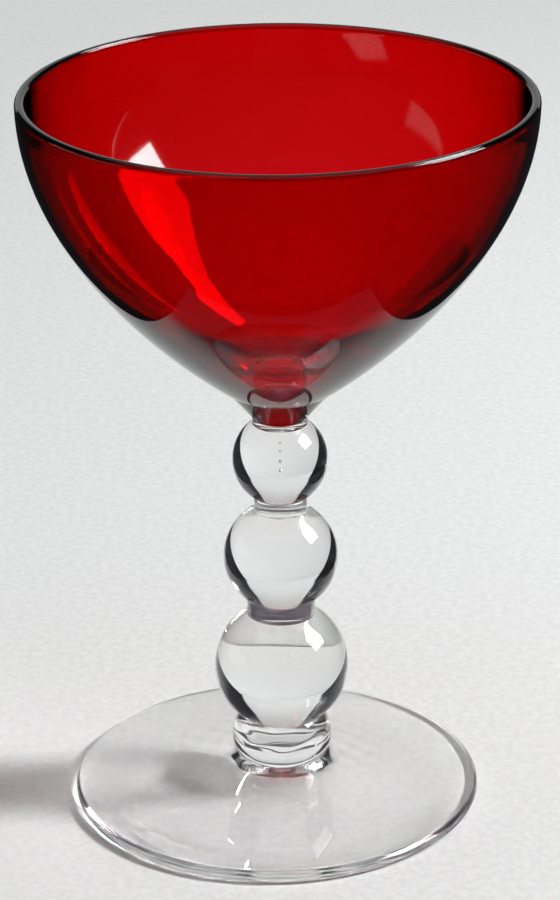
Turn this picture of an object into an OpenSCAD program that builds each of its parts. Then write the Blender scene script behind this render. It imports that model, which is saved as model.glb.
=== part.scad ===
// Sherbet glass: a ruby bowl and collar on a clear stem of three balls and a clear foot.
// Every piece is a gather of glass, turned about the Z axis and sealed to the next on a flat face.
// The origin is the middle of the foot's underside, and Z points up.

/* [Foot] */
// Diameter of the foot over its rounded edge
foot_d = 72.4; // [60:0.2:90]
// Thickness of the foot at its rounded edge
foot_edge_t = 2.2; // [1.6:0.1:4]
// Rise of the foot's gentle cone from the edge to the collar
foot_cone_h = 4.3; // [1:0.1:6]
// Extra rise of the fillet that flows up to the collar
foot_fillet_h = 0.9; // [0.4:0.1:5]
// Diameter of the hollow under the foot
foot_hollow_d = 62; // [40:0.5:66]
// Depth of the hollow at its middle
foot_hollow_h = 3; // [0.4:0.1:4]

/* [Foot collar] */
// Widest diameter of the bulging collar
collar_d = 17.6; // [15:0.2:22]
// Height of the collar from the foot to the bottom ball
collar_h = 7.6; // [5:0.1:9]
// Height of the collar's widest point above the foot
collar_belly_h = 3.1; // [2:0.1:5]
// Radius of the collar's bulging side
collar_belly_r = 7.2; // [7:0.1:12]

/* [Stem] */
// Diameter of the bottom ball
bottom_ball_d = 23.7; // [21:0.1:30]
// Diameter of the ring between the bottom and middle balls
lower_ring_d = 12; // [8:0.1:16]
// Height of the lower ring
lower_ring_h = 3; // [1:0.1:6]
// Diameter of the middle ball
middle_ball_d = 20.1; // [18:0.1:26]
// Diameter of the ring between the middle and top balls
upper_ring_d = 9.4; // [6:0.1:13]
// Height of the upper ring
upper_ring_h = 2.6; // [1:0.1:6]
// Diameter of the top ball
top_ball_d = 16.8; // [15:0.1:22]

// Diameter of the neck drawn up from the top ball
neck_d = 9.8; // [7:0.1:13]
// Height of the neck
neck_h = 1.1; // [0.4:0.1:4]

/* [Bowl collar] */
// Height of the ruby flare from the neck to the bowl
flare_h = 5.2; // [3:0.1:9]
// Diameter of the seal between the flare and the bowl
seal_d = 18.4; // [15:0.2:26]

/* [Bowl] */
// Outside diameter of the bowl at its lip
bowl_d = 87.6; // [76:0.2:110]
// Height of the bowl from its seal to the top of the lip
bowl_h = 52.8; // [40:0.1:66]
// Thickness of the wall at the lip
lip_wall = 1.8; // [1.2:0.1:3]
// Thickness of the floor over the seal
bowl_floor_t = 3.6; // [2.5:0.1:6]
// Power of the curve that turns the wall upright towards the lip
bowl_upright = 1.93; // [1.6:0.01:2.4]
// Power that rounds the outside above the seal
bowl_rounding = 1.035; // [1:0.005:1.3]
// Power that rounds the inside of the floor
cavity_rounding = 1.48; // [1.4:0.01:1.6]

/* [Hidden] */
$fn = 128;
clear_glass = [0.86, 0.9, 0.9, 0.45];
ruby_glass = [0.62, 0.01, 0.03, 0.8];
// Steps along the bowl's walls and the foot's top, along short curves and round small edges
wall_steps = 28;
curve_steps = 14;
round_steps = 8;
// Powers that crowd the steps towards the bowl's bottom, where the wall curves most
outside_crowding = 1.5;
inside_crowding = 2;
// Powers of the foot's fillet and of the flare under the bowl
fillet_power = 16;
flare_power = 1.1;

// Half a ball's height between its middle and a flat seal of radius seal_r
function seal_height(ball_d, seal_r) = sqrt(pow(ball_d / 2, 2) - pow(seal_r, 2));

// Foot collar: radius at height h above the foot, on an arc that is widest at the belly
function collar_r(h) =
    collar_d / 2 - collar_belly_r + sqrt(pow(collar_belly_r, 2) - pow(h - collar_belly_h, 2));
collar_seat_r = collar_r(0);
collar_top_r = collar_r(collar_h);

// Heights of the flat seals, from the foot upwards
foot_seal_z = foot_edge_t + foot_cone_h + foot_fillet_h;
bottom_ball_seal_z = foot_seal_z + collar_h;
bottom_ball_z = bottom_ball_seal_z + seal_height(bottom_ball_d, collar_top_r);
lower_ring_z = bottom_ball_z + seal_height(bottom_ball_d, lower_ring_d / 2);
middle_ball_seal_z = lower_ring_z + lower_ring_h;
middle_ball_z = middle_ball_seal_z + seal_height(middle_ball_d, lower_ring_d / 2);
upper_ring_z = middle_ball_z + seal_height(middle_ball_d, upper_ring_d / 2);
top_ball_seal_z = upper_ring_z + upper_ring_h;
top_ball_z = top_ball_seal_z + seal_height(top_ball_d, upper_ring_d / 2);
neck_z = top_ball_z + seal_height(top_ball_d, neck_d / 2);
flare_z = neck_z + neck_h;
bowl_seal_z = flare_z + flare_h;

// Foot: height of the top surface, with u from 0 at the collar to 1 at the edge
foot_edge_r = foot_edge_t / 2;
foot_rest_r = foot_d / 2 - foot_edge_r;
function foot_top_z(u) =
    foot_edge_t + foot_cone_h * (1 - u) + foot_fillet_h * pow(1 - u, fillet_power);
// Foot: height of the hollow's roof at radius r
function foot_hollow_z(r) = foot_hollow_h * (1 - pow(2 * r / foot_hollow_d, 2));

// Bowl: lip and floor
lip_r = lip_wall / 2;
lip_z = bowl_seal_z + bowl_h - lip_r;
bowl_floor_z = bowl_seal_z + bowl_floor_t;
// Share of the way from the bottom radius to the lip, with t from 0 at the bottom to 1 at the lip
function bowl_share(t, rounding) = pow(1 - pow(1 - t, bowl_upright), 1 / rounding);
function bowl_outside(t) = [
    seal_d / 2 + (bowl_d - seal_d) / 2 * bowl_share(t, bowl_rounding),
    bowl_seal_z + (lip_z - bowl_seal_z) * t
];
function bowl_inside(t) = [
    (bowl_d / 2 - lip_wall) * bowl_share(t, cavity_rounding),
    bowl_floor_z + (lip_z - bowl_floor_z) * t
];

// Solid ball cut flat at its lower and upper seals
module sealed_ball(ball_d, ball_z, lower_seal_z, upper_seal_z) {
    intersection() {
        translate([0, 0, ball_z])
            sphere(d = ball_d);
        translate([0, 0, lower_seal_z])
            cylinder(r = ball_d, h = upper_seal_z - lower_seal_z);
    }
}

module foot() {
    hollow = [for (i = [0 : curve_steps])
        let (r = foot_hollow_d / 2 * i / curve_steps) [r, foot_hollow_z(r)]];
    edge = [for (i = [0 : round_steps])
        let (a = -90 + 180 * i / round_steps)
        [foot_rest_r + foot_edge_r * cos(a), foot_edge_r + foot_edge_r * sin(a)]];
    top = [for (i = [1 : wall_steps])
        let (u = 1 - i / wall_steps)
        [collar_seat_r + (foot_rest_r - collar_seat_r) * u, foot_top_z(u)]];
    color(clear_glass)
        rotate_extrude()
            polygon(concat(hollow, edge, top, [[0, foot_seal_z]]));
}

module foot_collar() {
    side = [for (i = [0 : curve_steps])
        let (h = collar_h * i / curve_steps) [collar_r(h), foot_seal_z + h]];
    color(clear_glass)
        rotate_extrude()
            polygon(concat([[0, foot_seal_z]], side, [[0, bottom_ball_seal_z]]));
}

module bottom_ball() {
    color(clear_glass)
        sealed_ball(bottom_ball_d, bottom_ball_z, bottom_ball_seal_z, lower_ring_z);
}

module lower_ring() {
    color(clear_glass)
        translate([0, 0, lower_ring_z])
            cylinder(d = lower_ring_d, h = lower_ring_h);
}

module middle_ball() {
    color(clear_glass)
        sealed_ball(middle_ball_d, middle_ball_z, middle_ball_seal_z, upper_ring_z);
}

module upper_ring() {
    color(clear_glass)
        translate([0, 0, upper_ring_z])
            cylinder(d = upper_ring_d, h = upper_ring_h);
}

module top_ball() {
    color(clear_glass) {
        sealed_ball(top_ball_d, top_ball_z, top_ball_seal_z, neck_z + neck_h / 2);
        translate([0, 0, top_ball_z])
            cylinder(d = neck_d, h = flare_z - top_ball_z);
    }
}

module bowl_collar() {
    flare = [for (i = [0 : curve_steps])
        let (t = i / curve_steps)
        [neck_d / 2 + (seal_d - neck_d) / 2 * pow(t, flare_power), flare_z + flare_h * t]];
    color(ruby_glass)
        rotate_extrude()
            polygon(concat([[0, flare_z]], flare, [[0, bowl_seal_z]]));
}

module bowl() {
    outside = [for (i = [0 : wall_steps]) bowl_outside(pow(i / wall_steps, outside_crowding))];
    lip = [for (i = [1 : round_steps - 1])
        let (a = 180 * i / round_steps)
        [bowl_d / 2 - lip_r + lip_r * cos(a), lip_z + lip_r * sin(a)]];
    inside = [for (i = [0 : wall_steps]) bowl_inside(pow(1 - i / wall_steps, inside_crowding))];
    color(ruby_glass)
        rotate_extrude()
            polygon(concat([[0, bowl_seal_z]], outside, lip, inside));
}

foot();
foot_collar();
bottom_ball();
lower_ring();
middle_ball();
upper_ring();
top_ball();
bowl_collar();
bowl();
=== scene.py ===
# %% [markdown]
# A sherbet glass: a ruby bowl on a clear stem of three balls and a clear foot.
# The real one is worked hot from gathers of glass that are pressed together while they are soft.
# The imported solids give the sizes, and this lesson turns each gather again as a fine, smooth surface,
# because glass shows every facet that it has.

# %% Load the frame
import math

import bpy
import numpy as np
from mathutils import Matrix, Vector


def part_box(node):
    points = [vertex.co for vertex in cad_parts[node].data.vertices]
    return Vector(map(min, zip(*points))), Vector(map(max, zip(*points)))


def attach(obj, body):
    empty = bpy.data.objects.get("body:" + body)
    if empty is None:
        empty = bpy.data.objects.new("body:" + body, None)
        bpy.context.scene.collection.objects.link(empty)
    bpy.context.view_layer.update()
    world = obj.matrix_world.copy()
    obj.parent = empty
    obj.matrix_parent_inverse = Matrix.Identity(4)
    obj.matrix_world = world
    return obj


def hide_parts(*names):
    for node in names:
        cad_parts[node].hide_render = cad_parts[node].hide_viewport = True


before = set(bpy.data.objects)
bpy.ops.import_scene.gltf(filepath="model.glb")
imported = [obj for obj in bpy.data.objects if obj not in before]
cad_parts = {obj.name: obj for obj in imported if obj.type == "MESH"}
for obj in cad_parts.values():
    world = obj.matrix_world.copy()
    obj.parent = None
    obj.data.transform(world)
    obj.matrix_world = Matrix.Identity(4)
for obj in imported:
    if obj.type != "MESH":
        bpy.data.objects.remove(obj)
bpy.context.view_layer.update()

MM = 0.001
print("solids:", ", ".join(sorted(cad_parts)))

# %% [markdown]
# Each gather meets the next on a flat round seal. The frame's boxes give the heights of the seals and the
# widest radius of each piece, so the lesson measures them there. The few sizes that a box doesn't show,
# such as the thickness of the lip, are written in millimetres in the cells that need them.

# %% Measure the gathers
def span(node):
    """Widest radius and highest height of a solid, from its box."""
    low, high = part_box(node)
    return (high.x - low.x) / 2, high.z


foot_r, foot_seal_z = span("foot")
collar_r, bottom_seal_z = span("foot_collar")
bottom_ball_r, lower_ring_z = span("bottom_ball")
lower_ring_r, middle_seal_z = span("lower_ring")
middle_ball_r, upper_ring_z = span("middle_ball")
upper_ring_r, top_seal_z = span("upper_ring")
top_ball_r, flare_z = span("top_ball")
bowl_seal_r, bowl_seal_z = span("bowl_collar")
bowl_r, bowl_top_z = span("bowl")
seals = (foot_seal_z, bottom_seal_z, lower_ring_z, middle_seal_z, upper_ring_z, top_seal_z, flare_z)
print("seals in mm:", [round(z / MM, 2) for z in seals + (bowl_seal_z,)])

# %% [markdown]
# All the gathers are round, so one helper turns them all. It takes outlines that start and end on the axis
# and carries them round it. A lathe tool or a Screw modifier could do the same. Whole arrays are used here,
# because each point can then also take the faint unevenness of hand work, the same on both sides of a seal.

# %% Turn an outline
WANDER = 0.05 * MM
CALM_R = 1.8 * MM
# Each wave: how often it goes round, its twist for each metre of height, its start and its share
WANDER_WAVES = ((2, 60, 0, 1.0), (3, -90, 1, 0.6))


def uneven(angle, height):
    """Radial wander of hand work: a sum of slow sine waves round the axis that twist with the height."""
    waves = [share * np.sin(count * angle + twist * height + start)
             for count, twist, start, share in WANDER_WAVES]
    return WANDER * sum(waves)


def turned(outline, around):
    """Points and faces of one closed turned shell. A point is the outline's radius and height at one angle
    round Z, plus the wander, which dies out towards the axis. The faces are the lower fan of triangles, the
    quads of the side and the upper fan."""
    radius, height = np.asarray(outline).T
    angle = np.arange(around) * 2 * np.pi / around
    level = radius[1:-1, None]
    rise = np.repeat(height[1:-1, None], around, 1)
    reach = level + uneven(angle, rise) * level / (level + CALM_R)
    grid = np.stack((reach * np.cos(angle), reach * np.sin(angle), rise), -1).reshape(-1, 3)
    points = np.vstack(((0, 0, height[0]), grid, (0, 0, height[-1])))
    here = 1 + np.arange(around)
    after = np.roll(here, -1)
    last = around * (len(level) - 1)
    rows = np.arange(0, last, around)[:, None]
    quads = np.stack((here + rows, after + rows, after + rows + around, here + rows + around), -1)
    low_fan = np.stack((0 * here, after, here), -1)
    high_fan = np.stack((here + last, after + last, np.full(around, len(points) - 1)), -1)
    return points, (low_fan, quads.reshape(-1, 4), high_fan)


print("most wander in mm:", round(WANDER * sum(wave[-1] for wave in WANDER_WAVES) / MM, 3))

# %% [markdown]
# A gather is one such shell, and any air in it is more shells inside. A face that is pressed against the
# next gather is fused: it takes a second finish, which lets light pass straight on, because there is no air
# between the two. A smooth normal would smear a sharp edge, so edges over a limit stay sharp.

# %% Make a gather
AROUND = 256
BUBBLE_AROUND = 32
CREASE = math.radians(18)
# Which of a piece's finishes a face takes
GLASS = 0
FUSED = 1
TINTED = 2


def placed(name, data):
    """A new object at the origin."""
    made = bpy.data.objects.new(name, data)
    bpy.context.scene.collection.objects.link(made)
    return made


def gather(name, outline, ends=(GLASS, GLASS), hollows=(), marks=()):
    """One piece of glass from its outline. ends are the finishes of its lowest and highest face. hollows are
    outlines of air inside it, which run from the top down, so that their faces look into the air. marks are
    names with values at the outline's points, which are kept on the mesh."""
    shells = [turned(outline, AROUND)] + [turned(hollow, BUBBLE_AROUND) for hollow in hollows]
    points = np.vstack([shell for shell, _ in shells])
    faces = []
    first = 0
    for shell, parts in shells:
        for part in parts:
            faces += (first + part).tolist()
        first += len(shell)
    low_fan, sides, high_fan = [len(part) for part in shells[0][1]]
    finishes = np.full(len(faces), GLASS, np.int32)
    finishes[:low_fan] = ends[0]
    finishes[low_fan + sides:low_fan + sides + high_fan] = ends[1]
    mesh = bpy.data.meshes.new(name)
    mesh.from_pydata(points.tolist(), [], faces)
    mesh.polygons.foreach_set("material_index", finishes)
    mesh.polygons.foreach_set("use_smooth", np.full(len(faces), True))
    mesh.set_sharp_from_angle(angle=CREASE)
    for mark, values in marks:
        spread = np.concatenate((values[:1], np.repeat(values[1:-1], AROUND), values[-1:]))
        mesh.attributes.new(mark, "FLOAT", "POINT").data.foreach_set("value", spread)
    piece = placed(name, mesh)
    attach(piece, "root")
    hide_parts(name)
    print(name, "faces:", len(faces), "top in mm:", round(points[:, 2].max() / MM, 2))
    return piece


def reshape(piece, rule):
    """Moves all the points of a piece at once: rule takes and gives the array of points."""
    points = np.empty(3 * len(piece.data.vertices), np.float32)
    piece.data.vertices.foreach_get("co", points)
    moved = rule(points.reshape(-1, 3).copy()).ravel()
    piece.data.vertices.foreach_set("co", moved)
    print(piece.name, "moved in mm by up to:", round(float(abs(moved - points).max()) / MM, 3))


print("widest facet in mm:", round(2 * np.pi * bowl_r / AROUND / MM, 2))

# %% [markdown]
# The foot is a thin disc that rises in a gentle cone to the stem. It was dropped on a wet board and pressed
# flat, so its edge is full and round, and a shallow hollow below leaves it standing on a flat ring. In the
# middle of the hollow is the scar of the rod that held the glass. All this is one outline, with its steps
# crowded towards the middle, where the collar magnifies what lies below.

# %% Foot
FOOT_EDGE = 2.2 * MM
FOOT_FILLET = 0.9 * MM
FILLET_POWER = 16
HOLLOW_R = 31 * MM
HOLLOW_DEPTH = 3.0 * MM
HOLLOW_CROWDING = 1.5
HOLLOW_STEPS = 192
SCAR_R = 5 * MM
SCAR_DEPTH = 0.4 * MM
SCAR_WAVE = 1.6 * MM
SCAR_RIPPLE = 0.03 * MM
EDGE_STEPS = 24
SLOPE_STEPS = 64
BELLY_Z = 3.1 * MM
BELLY_R = 7.2 * MM


def bell(reach, edge):
    """1 on the axis and 0 from the edge outwards: the square of one less the square of the way out."""
    return np.clip(1 - (reach / edge) ** 2, 0, 1) ** 2


edge_r = FOOT_EDGE / 2
rest_r = foot_r - edge_r
seat_r = collar_r - BELLY_R + math.sqrt(BELLY_R**2 - BELLY_Z**2)
cone = foot_seal_z - FOOT_EDGE - FOOT_FILLET
out = HOLLOW_R * np.linspace(0, 1, HOLLOW_STEPS) ** HOLLOW_CROWDING
scar = bell(out, SCAR_R) * (SCAR_DEPTH + SCAR_RIPPLE * np.cos(2 * np.pi * out / SCAR_WAVE))
hollow = np.column_stack((out, HOLLOW_DEPTH * bell(out, HOLLOW_R) + scar))
turn = np.linspace(-np.pi / 2, np.pi / 2, EDGE_STEPS)
edge = np.column_stack((rest_r + edge_r * np.cos(turn), edge_r + edge_r * np.sin(turn)))
climb = np.linspace(0, 1, SLOPE_STEPS)[1:]
slope = np.column_stack((rest_r + (seat_r - rest_r) * climb,
                         FOOT_EDGE + cone * climb + FOOT_FILLET * climb**FILLET_POWER))
foot = gather("foot", np.vstack((hollow, edge, slope, (0, foot_seal_z))), (GLASS, FUSED))

# %% [markdown]
# No pressed foot is true. The edge of this one lies a little to the left of the stem, and the back of its
# underside is faintly wavy. The waves matter more than their depth suggests, because they break up the
# stripes that a perfect plate would send into the collar. Sculpting could do both. A rule for all the points
# is exact and short.

# %% Hand work on the foot
WAVE_DEPTH = 0.05 * MM
# Two crossing waves, one in each column: radians for each metre to the right and for each to the back
WAVES = np.array(((1100, -200), (300, 1000)))
WAVE_STARTS = (0, 1)
WAVE_FRONT = -4 * MM
WAVE_BACK = 4 * MM
FOOT_SHIFT = -1.0 * MM


def hand_pressed(points):
    """Lowers the back of the underside by the depth times one less the product of two crossing waves. It
    dies out towards the front and at the standing ring."""
    under = points[:1 + (HOLLOW_STEPS - 1) * AROUND]
    along, across = np.cos(under[:, :2] @ WAVES + WAVE_STARTS).T
    inside = bell(np.hypot(under[:, 0], under[:, 1]), HOLLOW_R)
    behind = np.interp(under[:, 1], (WAVE_FRONT, WAVE_BACK), (0, 1))
    under[:, 2] += WAVE_DEPTH * (along * across - 1) * inside * behind
    return points


def off_centre(points):
    """Slides the points sideways, from nothing at the collar to FOOT_SHIFT at the edge."""
    reach = np.hypot(points[:, 0], points[:, 1])
    points[:, 0] += FOOT_SHIFT * np.clip((reach - seat_r) / (rest_r - seat_r), 0, 1)
    return points


reshape(foot, hand_pressed)
reshape(foot, off_centre)

# %% [markdown]
# The bulging collar between the foot and the bottom ball is a small gather squeezed as it was joined. Its
# side is one arc that is widest below the middle. The tool that squeezed it left dents of a hundredth of a
# millimetre, which are enough to bend what is seen through it.

# %% Foot collar
COLLAR_STEPS = 40
DENT = 0.01 * MM
# Each dent's wave: how often it goes round, its lean from seal to seal and its start
DENT_WAVES = ((5, 4, 0), (7, -11, 2))
collar_h = bottom_seal_z - foot_seal_z
lift = np.linspace(0, collar_h, COLLAR_STEPS)
bulge = collar_r - BELLY_R + np.sqrt(BELLY_R**2 - (lift - BELLY_Z) ** 2)
side = np.column_stack((bulge, foot_seal_z + lift))
foot_collar = gather("foot_collar", np.vstack(((0, foot_seal_z), side, (0, bottom_seal_z))), (FUSED, FUSED))


def tooled(points):
    """Dents of the tool: waves round the axis that lean with the height and die out at both seals."""
    angle = np.arctan2(points[:, 1], points[:, 0])
    share_up = (points[:, 2] - foot_seal_z) / collar_h
    waves = sum(np.cos(count * angle + lean * share_up + start) for count, lean, start in DENT_WAVES)
    points[:, :2] *= 1 + DENT / collar_r * (waves * np.sin(np.pi * share_up))[:, None]
    return points


reshape(foot_collar, tooled)

# %% [markdown]
# The stem is three solid balls, smaller towards the bowl, with a short plain ring between each two. A ball
# is an arc of a circle between its two seals. Its middle isn't in its box, but the radius and height of both
# seals give it. The top ball is drawn up into a short neck, and air caught in it became a row of tiny
# bubbles on the axis.

# %% Balls and rings
BALL_STEPS = 96
BUBBLE_STEPS = 12
BUBBLE_R = 0.17 * MM
BUBBLE_HEIGHTS = (3.7 * MM, 2.0 * MM, 0.9 * MM, -0.4 * MM, -1.5 * MM)
NECK_R = 4.9 * MM
NECK = 1.1 * MM


def ball_outline(ball_r, low_r, low_z, high_r, high_z):
    """Arc of radius ball_r between two seals, closed to the axis by their flat faces, and the height of its
    middle, which is as far from the edge of one seal as from the other's."""
    middle = ((high_z**2 - low_z**2) + high_r**2 - low_r**2) / (2 * (high_z - low_z))
    first = math.asin((low_z - middle) / ball_r)
    last = math.asin((high_z - middle) / ball_r)
    tilt = np.linspace(first, last, BALL_STEPS)
    arc = np.column_stack((ball_r * np.cos(tilt), middle + ball_r * np.sin(tilt)))
    return np.vstack(((0, low_z), arc, (0, high_z))), middle


def bubble_outline(centre):
    """Half circle on the axis, from the top down."""
    tilt = np.linspace(np.pi / 2, -np.pi / 2, BUBBLE_STEPS)
    half = np.column_stack((BUBBLE_R * np.cos(tilt), centre + BUBBLE_R * np.sin(tilt)))
    half[[0, -1], 0] = 0
    return half


def ring(name, ring_r, low_z, high_z):
    """Short plain cylinder between two balls."""
    return gather(name, [(0, low_z), (ring_r, low_z), (ring_r, high_z), (0, high_z)], (FUSED, FUSED))


outline, _ = ball_outline(bottom_ball_r, bulge[-1], bottom_seal_z, lower_ring_r, lower_ring_z)
bottom_ball = gather("bottom_ball", outline, (FUSED, FUSED))
lower_ring = ring("lower_ring", lower_ring_r, lower_ring_z, middle_seal_z)
outline, _ = ball_outline(middle_ball_r, lower_ring_r, middle_seal_z, upper_ring_r, upper_ring_z)
middle_ball = gather("middle_ball", outline, (FUSED, FUSED))
upper_ring = ring("upper_ring", upper_ring_r, upper_ring_z, top_seal_z)
outline, top_middle = ball_outline(top_ball_r, upper_ring_r, top_seal_z, NECK_R, flare_z - NECK)
outline = np.vstack((outline[:-1], (NECK_R, flare_z), (0, flare_z)))
bubbles = [bubble_outline(top_middle + height) for height in BUBBLE_HEIGHTS]
top_ball = gather("top_ball", outline, (FUSED, FUSED), bubbles)

# %% [markdown]
# Under the bowl a short ruby gather flares out from the neck to the seal. Its ends stop a hair short of the
# neighbours' faces, because its lower face carries colour and shouldn't lie in one plane with another. How
# deep the ruby looks, in millimetres, is kept on the mesh for its finish.

# %% Bowl collar
FLARE_STEPS = 40
FLARE_POWER = 1.1
HAIR = 0.01 * MM
COLLAR_DEPTH = 4.0
low_z = flare_z + HAIR
high_z = bowl_seal_z - HAIR
rise = np.linspace(0, 1, FLARE_STEPS)
flare = np.column_stack((NECK_R + (bowl_seal_r - NECK_R) * rise**FLARE_POWER,
                         low_z + (high_z - low_z) * rise))
outline = np.vstack(((0, low_z), flare, (0, high_z)))
depth = np.full(len(outline), COLLAR_DEPTH)
bowl_collar = gather("bowl_collar", outline, (TINTED, FUSED), marks=[("ruby", depth)])

# %% [markdown]
# The bowl is blown, so its wall is thin at the lip and thick over the seal. Outside and inside follow the
# same kind of curve, a power curve that turns upright towards the lip. Two values are kept on the mesh. One
# is how deep the ruby looks: least at the bottom, where the photograph's red is palest, and most at the lip,
# which is seen along its length. The other says how much of a coat's clear shine a point has: all of it
# inside, some on the lip and none outside.

# %% Bowl
WALL_STEPS = 140
LIP_STEPS = 20
CROWDING = 2
LIP = 1.8 * MM
BOWL_FLOOR = 3.6 * MM
UPRIGHT = 1.93
OUTSIDE_ROUNDING = 1.035
INSIDE_ROUNDING = 1.48
LOW_DEPTH = 1.0
HIGH_DEPTH = 1.8
LIP_DEPTH = 6
LIP_COAT = 0.4
lip_r = LIP / 2
lip_z = bowl_top_z - lip_r
bowl_floor_z = bowl_seal_z + BOWL_FLOOR


def widening(t, rounding):
    """Share of the way from the bottom's radius to the lip's, at a share t of the height: one less a power of
    what is left to climb, and a root of that."""
    return (1 - (1 - t) ** UPRIGHT) ** (1 / rounding)


def ruby_depth(t):
    """Depth of the ruby in mm, which grows evenly from the bottom to the lip."""
    return LOW_DEPTH + (HIGH_DEPTH - LOW_DEPTH) * t


up = np.linspace(0, 1, WALL_STEPS) ** CROWDING
down = up[::-1]
outside = np.column_stack((bowl_seal_r + (bowl_r - bowl_seal_r) * widening(up, OUTSIDE_ROUNDING),
                           bowl_seal_z + (lip_z - bowl_seal_z) * up))
turn = np.linspace(0, np.pi, LIP_STEPS)[1:-1]
lip = np.column_stack((bowl_r - lip_r + lip_r * np.cos(turn), lip_z + lip_r * np.sin(turn)))
inside = np.column_stack(((bowl_r - LIP) * widening(down, INSIDE_ROUNDING),
                          bowl_floor_z + (lip_z - bowl_floor_z) * down))
depth = np.concatenate(([LOW_DEPTH], ruby_depth(up), np.full(len(lip), LIP_DEPTH), ruby_depth(down)))
coat = np.concatenate(([0], np.zeros(len(up)), np.full(len(lip), LIP_COAT), np.ones(len(down))))
outline = np.vstack(((0, bowl_seal_z), outside, lip, inside))
bowl = gather("bowl", outline, (FUSED, GLASS), marks=[("ruby", depth), ("inner", coat)])
print("depth of the ruby in mm: at the seal", depth[1], "under the lip", depth[WALL_STEPS])

# %% [markdown]
# The finishes are node trees. Wiring them by hand hides the sums in them, so one small class wraps a socket:
# arithmetic on it adds Math nodes, and one method adds any other node with its settings and sockets.

# %% Shader sums
class Wire:
    """A value in a node tree. Arithmetic on it adds Math nodes, and node() adds any other node."""

    def __init__(self, tree, out=None):
        self.tree = tree
        self.out = out

    def node(self, kind, settings=None, sockets=None, give=0):
        """Adds a node, sets its settings, then sets or links its sockets, and gives one of its outputs."""
        made = self.tree.nodes.new(kind)
        for name, value in (settings or {}).items():
            setattr(made, name, value)
        for name, value in (sockets or {}).items():
            if isinstance(value, Wire):
                self.tree.links.new(value.out, made.inputs[name])
            else:
                made.inputs[name].default_value = value
        return Wire(self.tree, made.outputs[give] if len(made.outputs) else None)

    def maths(self, operation, first, second=0):
        """Adds a Math node for one or two values."""
        return self.node("ShaderNodeMath", {"operation": operation}, {0: first, 1: second})

    def __add__(self, other):
        return self.maths("ADD", self, other)

    def __sub__(self, other):
        return self.maths("SUBTRACT", self, other)

    def __rsub__(self, other):
        return self.maths("SUBTRACT", other, self)

    def __mul__(self, other):
        return self.maths("MULTIPLY", self, other)

    def __pow__(self, other):
        return self.maths("POWER", self, other)

    def __rpow__(self, other):
        return self.maths("POWER", other, self)

    def __gt__(self, other):
        return self.maths("GREATER_THAN", self, other)

    def __neg__(self):
        return 0 - self

    def __abs__(self):
        return self.maths("ABSOLUTE", self)

    __radd__ = __add__
    __rmul__ = __mul__

    def eased(self, low, high):
        """0 below low, 1 above high, and a smooth step between."""
        return self.node("ShaderNodeMapRange", {"interpolation_type": "SMOOTHSTEP"},
                         {"Value": self, "From Min": low, "From Max": high})


# %% [markdown]
# A few small helpers are shared by all finishes: one starts a material, one closes it with its shader, and
# the others give noise, a colour between two others and a distance from the middle.

# %% Helpers for the finishes
SMOOTH_DETAIL = 2
FINE_DETAIL = 4
# Sockets of the Mix node that hold colours, which share their names with others
MIX_SHARE = 0
MIX_FIRST = 6
MIX_SECOND = 7
MIX_RESULT = 2


def finish(name):
    """A new empty material and the wire that starts its nodes."""
    material = bpy.data.materials.new(name)
    material.use_nodes = True
    material.node_tree.nodes.clear()
    return material, Wire(material.node_tree)


def shade(start, kind, sockets):
    """Ends a material with one shader."""
    start.node("ShaderNodeOutputMaterial", None, {"Surface": start.node(kind, None, sockets)})


def noise(start, place, scale=1, detail=SMOOTH_DETAIL):
    """Soft noise: scale is how many blobs there are in a metre."""
    return start.node("ShaderNodeTexNoise", None, {"Vector": place, "Scale": scale, "Detail": detail})


def between(start, share, first, second):
    """Colour between two others: the first at a share of 0 and the second at 1."""
    return start.node("ShaderNodeMix", {"data_type": "RGBA"},
                      {MIX_SHARE: share, MIX_FIRST: first, MIX_SECOND: second}, MIX_RESULT)


def distance(start, place):
    """Distance of a place from the middle of its object."""
    return start.node("ShaderNodeVectorMath", {"operation": "LENGTH"}, {0: place}, "Value")


# %% [markdown]
# Clear glass has no colour of its own to paint. What shows is how it bends light, so the finish is in the
# surface: slow ripples from the tools, fine cords where gathers of slightly different glass flowed together,
# and a faint haze of handling. The ripples are a bump, because a few microns are enough to bend a reflection.

# %% Clear glass
GLASS_IOR = 1.52
CLEAR_TINT = (0.985, 0.992, 0.988, 1)
CLEAR_RIPPLE = 0.012 * MM
CLEAR_HAZE = 0.012
RIPPLE_SCALE = 90
CORD_SCALE = (60, 60, 420)
CORD_SHARE = 0.25
HAZE_SCALE = 160
HAZE_PATCHES = (0.35, 0.7)


def hand_worked(start, place, depth):
    """Normal of hand-worked glass: soft ripples plus cords, which are noise drawn out round the axis."""
    drawn_out = start.node("ShaderNodeMapping", None, {"Vector": place, "Scale": CORD_SCALE})
    height = noise(start, place, RIPPLE_SCALE) + CORD_SHARE * noise(start, drawn_out)
    return start.node("ShaderNodeBump", None, {"Distance": depth, "Height": height})


def haze(start, place, most):
    """Roughness that wanders between 0 and most in soft patches."""
    return most * noise(start, place, HAZE_SCALE, FINE_DETAIL).eased(*HAZE_PATCHES)


def clear_glass():
    """Clear glass with ripples, cords and haze."""
    material, start = finish("clear_glass")
    place = start.node("ShaderNodeTexCoord", give="Object")
    shade(start, "ShaderNodeBsdfPrincipled", {
        "Base Color": CLEAR_TINT, "Transmission Weight": 1, "IOR": GLASS_IOR,
        "Roughness": haze(start, place, CLEAR_HAZE), "Normal": hand_worked(start, place, CLEAR_RIPPLE)})
    return material


clear = clear_glass()
print("clear glass has", len(clear.node_tree.nodes), "nodes")

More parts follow.
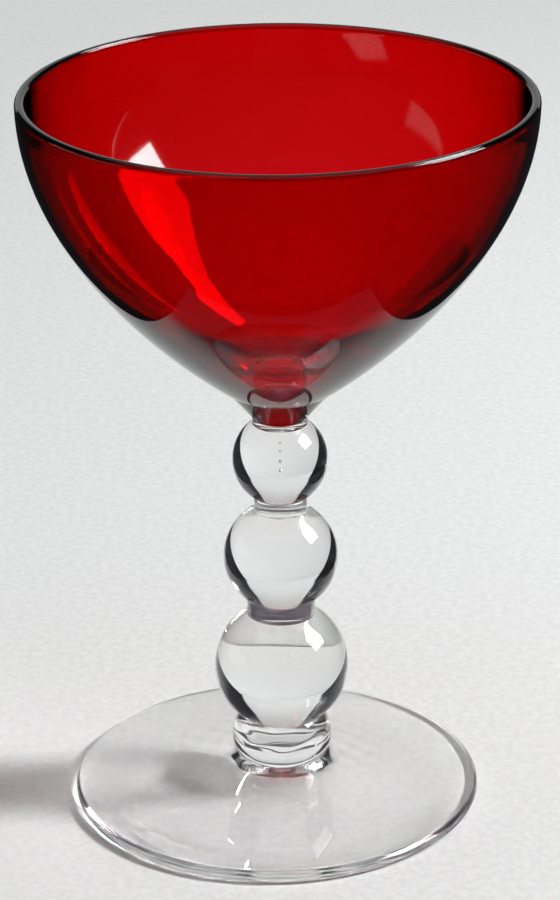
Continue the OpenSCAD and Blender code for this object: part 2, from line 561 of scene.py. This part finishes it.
# %% [markdown]
# Ruby glass is red all through. Light loses the same share of its blue and green in each millimetre, and a
# little of its red. Volume Absorption does this from the path of the light, but a volume can't end at a
# fused face inside the glass. Here the depth is on the mesh, and the colour is the share that is left after
# it, a power for each colour. A slanting ray passes more glass, so the depth grows with the slant. A much
# steeper term on top is painted shade: it turns the red nearly black at the very edge of the bowl, a dark
# outline put into the colour. The photograph's red is too pure for a full mirror in front of it, so the shine
# straight on is taken away and only slanting rays are mirrored. The white shapes inside the bowl come from a
# coat, faintly hazy as a used glass is.

# %% Ruby glass
LEFT_PER_MM = (0.76, 0.02, 0.03)
RUBY_RIPPLE = 0.02 * MM
RUBY_HAZE = 0.015
COAT_HAZE = 0.06
NO_SHINE = (0, 0, 0, 1)
SLANT = 2
SLANT_POWER = 1.5
# Painted shade: how strongly and how close to the outline the red is blackened
PAINTED_EDGE = 300
PAINTED_EDGE_POWER = 12
CLOUD_SCALE = 45
CLOUD_LEAST = 0.92
CLOUD_SPAN = 0.16


def depth_colour(start, thick):
    """Colour left after a depth of ruby: the share left after 1 mm, to the power of the depth in mm."""
    shares = {name: left**thick for name, left in zip(("Red", "Green", "Blue"), LEFT_PER_MM)}
    return start.node("ShaderNodeCombineColor", None, shares)


def ruby_glass():
    """Ruby glass whose depth is the mesh's, times a slow cloud, times a factor for a slanting ray, whose
    steep part is painted shade at the outline.
    """
    material, start = finish("ruby_glass")
    place = start.node("ShaderNodeTexCoord", give="Object")
    thick = start.node("ShaderNodeAttribute", {"attribute_name": "ruby"}, give="Fac")
    inner = start.node("ShaderNodeAttribute", {"attribute_name": "inner"}, give="Fac")
    facing = start.node("ShaderNodeLayerWeight", give="Facing")
    # The first term is the longer path of a slanting ray; the second is painted shade at the outline
    slant_and_painted_edge = 1 + SLANT * facing**SLANT_POWER + PAINTED_EDGE * facing**PAINTED_EDGE_POWER
    cloud = CLOUD_LEAST + CLOUD_SPAN * noise(start, place, CLOUD_SCALE)
    shade(start, "ShaderNodeBsdfPrincipled", {
        "Base Color": depth_colour(start, thick * cloud * slant_and_painted_edge), "Transmission Weight": 1,
        "IOR": GLASS_IOR, "Specular Tint": NO_SHINE, "Coat Weight": inner, "Coat Roughness": COAT_HAZE,
        "Roughness": haze(start, place, RUBY_HAZE), "Normal": hand_worked(start, place, RUBY_RIPPLE)})
    return material


ruby = ruby_glass()
red_left = [round(LEFT_PER_MM[0]**mm, 2) for mm in (LOW_DEPTH, HIGH_DEPTH)]
print("share of red left at the seal and under the lip:", red_left)

# %% [markdown]
# Two gathers pressed together hot become one body. Light passes the joint without a bend or a shine, so the
# fused faces are plain Transparent. A wall of ruby takes half its colour at each face, so the lower face of
# the bowl's collar is tinted: light that goes down into the clear stem leaves the red glass there.

# %% Fused faces
UNTINTED = (1, 1, 1, 1)
HALF_RUBY = [left ** (COLLAR_DEPTH / 2) for left in LEFT_PER_MM] + [1]


def fused(name, colour):
    """Finish of a joint inside the glass."""
    material, start = finish(name)
    shade(start, "ShaderNodeBsdfTransparent", {"Color": colour})
    return material


fused_clear = fused("fused_clear", UNTINTED)
for piece in (foot, foot_collar, bottom_ball, lower_ring, middle_ball, upper_ring, top_ball):
    piece.data.materials.append(clear)
    piece.data.materials.append(fused_clear)
for piece in (bowl, bowl_collar):
    piece.data.materials.append(ruby)
    piece.data.materials.append(fused_clear)
bowl_collar.data.materials.append(fused("fused_ruby", HALF_RUBY))

# %% [markdown]
# The floor is a sheet of pale mottled paper. It fades out far from the glass into the pale surroundings, so
# that no view shows an edge. It lies a hair below the foot, so that the two don't share a plane.

# %% Floor
PAPER = (0.815, 0.83, 0.825, 1)
PAPER_SHADE = (0.735, 0.75, 0.745, 1)
PAPER_ROUGH = 0.9
MOTTLE_SCALE = 700
MOTTLE_PATCHES = (0.3, 0.7)
FADE = (0.2, 0.75)
FLOOR_HALF = 2.2
FLOOR_Z = -0.1 * MM


def paper():
    """Pale mottled paper that fades with the distance from the glass."""
    material, start = finish("pale_paper")
    place = start.node("ShaderNodeTexCoord", give="Object")
    mottle = noise(start, place, MOTTLE_SCALE, FINE_DETAIL).eased(*MOTTLE_PATCHES)
    shade(start, "ShaderNodeBsdfPrincipled", {
        "Base Color": between(start, mottle, PAPER_SHADE, PAPER), "Roughness": PAPER_ROUGH,
        "Alpha": 1 - distance(start, place).eased(*FADE)})
    return material


def oblong(left, right, front, back):
    """Corners of an oblong on the floor."""
    return [(left, front), (right, front), (right, back), (left, back)]


def lying(corners, height):
    """Points of a flat sheet at one height."""
    return [(x, y, height) for x, y in corners]


def stage_sheet(name, points, material):
    """One polygon of the stage, which isn't part of the glass."""
    mesh = bpy.data.meshes.new(name)
    mesh.from_pydata(points, [], [list(range(len(points)))])
    mesh.materials.append(material)
    made = placed(name, mesh)
    return made


stage_sheet("floor", lying(oblong(-FLOOR_HALF, FLOOR_HALF, -FLOOR_HALF, FLOOR_HALF), FLOOR_Z), paper())
print("side of the floor in m:", 2 * FLOOR_HALF)

# %% [markdown]
# Clear glass has no outline of its own on a pale ground. It shows what stands round it, so a photographer
# keeps the light parts narrow and the rest dark. Here the studio is dim, with one tall pale sheet behind the
# glass that widens towards the floor, and a low pale wall on the left. The balls gather the dim sides into
# dark crescents. Below the horizon all is pale, as the paper is. The bowl mirrors the sheet a little weaker.
# Seen through glass the sheet is brightest at the floor and fades upwards, so that in the balls hardly a line
# shows where paper and sheet meet.

# %% Studio
DIM = (0.02, 0.02, 0.024, 1)
PALE = (0.625, 0.64, 0.635, 1)
SHEET_HALF = math.radians(21.5)
SHEET_FLARE = math.radians(7.5)
FLARE_TOP = math.sin(math.radians(22))
SHEET_TOP = math.sin(math.radians(50))
SHEET_SHINE = 0.8
WALL_HALF = math.radians(22)
WALL_TOP = math.sin(math.radians(18))
SOFT = 0.025
GROUND = (-0.02, 0)
THROUGH_GAIN = 0.25
THROUGH_FALL = 0.3
THROUGH_TOP = 0.45


def within(value, limit):
    """1 where a value is below a limit and 0 above it, with a short soft step between."""
    return 1 - (value - limit).eased(-SOFT, SOFT)


world = bpy.data.worlds.new("studio")
bpy.context.scene.world = world
world.use_nodes = True
world.node_tree.nodes.clear()
start = Wire(world.node_tree)
way = start.node("ShaderNodeTexCoord", give="Generated")
x, y, z = [start.node("ShaderNodeSeparateXYZ", None, {"Vector": way}, axis) for axis in "XYZ"]
through = start.node("ShaderNodeLightPath", give="Is Transmission Ray")
mirrored = start.node("ShaderNodeLightPath", give="Is Glossy Ray") * (1 - through)
from_behind = abs(start.maths("ARCTAN2", x, y))
from_left = abs(start.maths("ARCTAN2", y, -x))
sheet_half = SHEET_HALF + SHEET_FLARE * (1 - z.eased(0, FLARE_TOP))
sheet = within(from_behind, sheet_half) * within(z, SHEET_TOP) * (1 - (1 - SHEET_SHINE) * mirrored)
wall = within(from_left, WALL_HALF) * within(z, WALL_TOP)
ground = 1 - z.eased(*GROUND)
pale = 1 - (1 - sheet) * (1 - wall) * (1 - ground)
strength = 1 + through * (THROUGH_GAIN - THROUGH_FALL * z.eased(0, THROUGH_TOP))
backing = start.node("ShaderNodeBackground", None,
                     {"Color": between(start, pale, DIM, PALE), "Strength": strength})
start.node("ShaderNodeOutputWorld", None, {"Surface": backing})
print("studio has", len(world.node_tree.nodes), "nodes")

# %% [markdown]
# Cards lie on the paper. Only the glass sees them: the camera looks past them, and they cast no shadow, so
# the floor stays plain in every view. There are three kinds. Plain black ones keep the bowl's red deep where
# it mirrors them, and darken the sides of the balls. A graded one is painted shade: a copy of the paper, grey
# in front and pale towards the back as if shaded there, which mirrored rays see in place of the lit paper. It
# stops only rays that were mirrored before, because the clear foot stands on it. Another kind of black stops
# only flat rays, so that a look down through the bowl still finds pale paper.

# %% Finishes of the cards
CARD_BLACK = (0.02, 0.018, 0.022, 1)
# Painted shade: the colour of the paper in front of the glass, as mirrored rays see it
PAINTED_SHADE_GREY = (0.16, 0.13, 0.17, 1)
CARD_ROUGH = 0.7
CARD_ROUGH_SPAN = 0.2
CARD_GRAIN = 300
GRADE = (-0.02, 0.03)
FLAT_FROM = (0.15, 0.35)
FLAT_NEAR = 0.59
FLAT_FAR = 0.66


def plain(start, place):
    """Black all over, which stops every ray."""
    return CARD_BLACK, 1


def flat_only(start, place):
    """Black that stops only flat rays, which come in along the floor. Further off they have to be flatter."""
    facing = start.node("ShaderNodeLayerWeight", give="Facing")
    far = distance(start, place).eased(*FLAT_FROM)
    return CARD_BLACK, facing > FLAT_NEAR + (FLAT_FAR - FLAT_NEAR) * far


def shaded_paper(start, place):
    """Painted shade: grey in front that grows pale towards the back, and stops only rays that were mirrored
    before.
    """
    back = start.node("ShaderNodeSeparateXYZ", None, {"Vector": place}, "Y").eased(*GRADE)
    mirrors = start.node("ShaderNodeLightPath", give="Glossy Depth")
    return between(start, back, PAINTED_SHADE_GREY, PAPER), mirrors > 0


def matt(name, paint):
    """A matt card: paint gives its colour and which rays it stops, from the wire and the place."""
    material, start = finish(name)
    place = start.node("ShaderNodeTexCoord", give="Object")
    colour, stops = paint(start, place)
    shade(start, "ShaderNodeBsdfPrincipled", {
        "Base Color": colour, "Roughness": CARD_ROUGH + CARD_ROUGH_SPAN * noise(start, place, CARD_GRAIN),
        "Specular IOR Level": 0, "Alpha": stops})
    return material


black = matt("black_card", plain)
flat_black = matt("flat_black_card", flat_only)
shade_card = matt("painted_shade_card", shaded_paper)
print("cards:", black.name, flat_black.name, shade_card.name)

# %% [markdown]
# The mirrored cards leave a strip of paper free behind the glass, which the underside of the bowl mirrors
# as a pale band. The cards that show through the glass start beside the foot, and their inner edges spread
# at the angle at which the pale sheet meets the floor, so that the crescents in the balls have no kink. Out
# to the sides they end early, and on the right one more reaches round a little to the front.

# %% Cards
SHINE_X = 0.066
SHINE_SPREAD = 0.09
CARD_X = 0.05
CARD_LEAN = SHEET_HALF + SHEET_FLARE
CARD_FRONT = -0.043
CARD_FAR = 10
CARD_Z = -0.05 * MM
GRADE_BACK = 0.04
NEAR_R = 0.15
WINDOW_R = 0.4
WINDOW_ANGLE = 76
FRONT_ANGLE = 112
SIDEWAYS = 90
ARC_STEPS = 24
# Kinds of rays that don't come from glass, that glass hasn't mirrored, and that haven't passed through it
NOT_GLASS = ("camera", "diffuse", "shadow", "volume_scatter")
NOT_MIRRORED = NOT_GLASS + ("transmission",)
NOT_THROUGH = NOT_GLASS + ("glossy",)


def hide(made, kinds):
    """Keeps an object from being seen by rays of these kinds."""
    for kind in kinds:
        setattr(made, "visible_" + kind, False)


def card(name, material, corners, hidden_from):
    """Flat card on the paper."""
    hide(stage_sheet(name, lying(corners, CARD_Z), material), hidden_from)


def arc(side, radius, first, last):
    """Points on the floor at one distance from the glass, between two angles from straight back. side is 1
    for the right and -1 for the left."""
    angle = np.radians(np.linspace(first, last, ARC_STEPS))
    return np.column_stack((side * radius * np.sin(angle), radius * np.cos(angle))).tolist()


def edge_angle(radius):
    """Angle from straight back at which the inner edge of a card is this far from the glass."""
    return math.degrees(math.asin(CARD_X * math.cos(CARD_LEAN) / radius) + CARD_LEAN)


far_x = SHINE_X + SHINE_SPREAD * CARD_FAR
card("shine_front", black, oblong(-CARD_FAR, CARD_FAR, -CARD_FAR, CARD_FRONT), NOT_MIRRORED)
# The paper under the glass as mirrored rays see it, with painted shade in front
card("painted_shade_middle", shade_card, oblong(-SHINE_X, SHINE_X, CARD_FRONT, GRADE_BACK), NOT_GLASS)
for side in (-1, 1):
    inner_edge = [(side * SHINE_X, CARD_FRONT), (side * SHINE_X, 0), (side * far_x, CARD_FAR)]
    outer_edge = [(side * CARD_FAR, CARD_FAR), (side * CARD_FAR, CARD_FRONT)]
    card("shine_side", black, inner_edge + outer_edge, NOT_MIRRORED)
for side in (-1, 1):
    near = arc(side, NEAR_R, edge_angle(NEAR_R), SIDEWAYS)
    window = arc(side, WINDOW_R, SIDEWAYS, WINDOW_ANGLE)
    far = arc(side, CARD_FAR, WINDOW_ANGLE, edge_angle(CARD_FAR))
    card("card_near", black, [(side * CARD_X, 0)] + near, NOT_THROUGH)
    card("card_far", flat_black, near + window + far, NOT_THROUGH)
front = arc(1, CARD_X, SIDEWAYS, FRONT_ANGLE) + arc(1, WINDOW_R, FRONT_ANGLE, SIDEWAYS)
card("card_front", flat_black, front, NOT_THROUGH)
print("inner edges of the cards at degrees:", round(edge_angle(NEAR_R)), "to", round(edge_angle(CARD_FAR)))

# %% [markdown]
# A large softbox stands high on the right. The white shapes on the balls and in the bowl are its mirror
# image, and they give its bent outline, which is a polygon here. A lamp can't have that outline, so the
# polygon is only mirrored, and a round key lamp in front of it gives its light. A wide weak lamp overhead
# stands for the light that a ceiling sends back, and softens the shadows.

# %% Lights
AIM = Vector((0, 0, 0.06))
# Corners of the softbox: azimuth from straight back to the right, and elevation, in degrees
SOFTBOX = ((78, 23), (107, 25), (109, 47), (88, 55), (72, 57), (58, 59), (40, 60), (34, 46), (46, 43),
           (58, 48), (68, 44), (70, 38))
SOFTBOX_R = 2.0
SOFTBOX_LEVEL = 19
KEY_WAY = (89, 37)
KEY_R = 1.7
KEY_SIZE = 0.34
KEY_POWER = 33
CEILING_SIZE = 3.6
CEILING_Z = 2.6
CEILING_POWER = 25


def towards(turn, climb, reach):
    """Places at a distance from the stem, at an azimuth and an elevation in degrees: the sine and cosine of
    the azimuth times the cosine of the elevation, and the sine of the elevation."""
    turn = np.radians(turn)
    climb = np.radians(climb)
    way = np.stack((np.sin(turn) * np.cos(climb), np.cos(turn) * np.cos(climb), np.sin(climb)), -1)
    return (np.array(AIM) + reach * way).tolist()


def glowing_sheet():
    """Even white light."""
    material, start = finish("glowing_sheet")
    shade(start, "ShaderNodeEmission", {"Strength": SOFTBOX_LEVEL})
    return material


def area_lamp(name, shape, size, power, place):
    """Area lamp that looks at the stem."""
    light = bpy.data.lights.new(name, "AREA")
    light.shape = shape
    light.size = size
    light.energy = power
    made = placed(name, light)
    made.location = place
    made.rotation_euler = (Vector(place) - AIM).to_track_quat("Z", "Y").to_euler()
    return made


softbox = stage_sheet("softbox", towards(*np.array(SOFTBOX).T, SOFTBOX_R), glowing_sheet())
hide(softbox, NOT_MIRRORED)
key = area_lamp("key", "DISK", KEY_SIZE, KEY_POWER, towards(*KEY_WAY, KEY_R))
hide(key, ["glossy"])
area_lamp("ceiling", "SQUARE", CEILING_SIZE, CEILING_POWER, (0, 0, CEILING_Z))
print("key lamp at", [round(value, 2) for value in key.location])

# %% [markdown]
# The camera stands where the photograph's outlines put it: a long lens, looking down at the bowl. Light
# crosses many faces in the stem, so it may bounce more often than usual. With fewer bounces the collar and
# the lip go black.

# %% Camera
LENS_MM = 135.07
SENSOR_MM = 36
STAND = (0, -0.5402, 0.2949)
PITCH = math.radians(67.004)
ROLL = math.radians(-0.4)
BOUNCES = 40
GLASS_BOUNCES = 32
TRANSPARENT_BOUNCES = 48
eye = bpy.data.cameras.new("camera")
eye.sensor_fit = "VERTICAL"
eye.sensor_height = SENSOR_MM
eye.lens = LENS_MM
camera = placed("camera", eye)
tilted = Matrix.Rotation(PITCH, 4, "X") @ Matrix.Rotation(ROLL, 4, "Z")
camera.matrix_world = Matrix.Translation(STAND) @ tilted
bpy.context.scene.camera = camera
bpy.context.scene.view_settings.view_transform = "Standard"
cycles = bpy.context.scene.cycles
cycles.max_bounces = BOUNCES
cycles.glossy_bounces = GLASS_BOUNCES
cycles.transmission_bounces = GLASS_BOUNCES
cycles.transparent_max_bounces = TRANSPARENT_BOUNCES
cycles.sample_clamp_indirect = 0
cycles.blur_glossy = 0
print("camera from the stem in m:", round((camera.matrix_world.translation - AIM).length, 3))
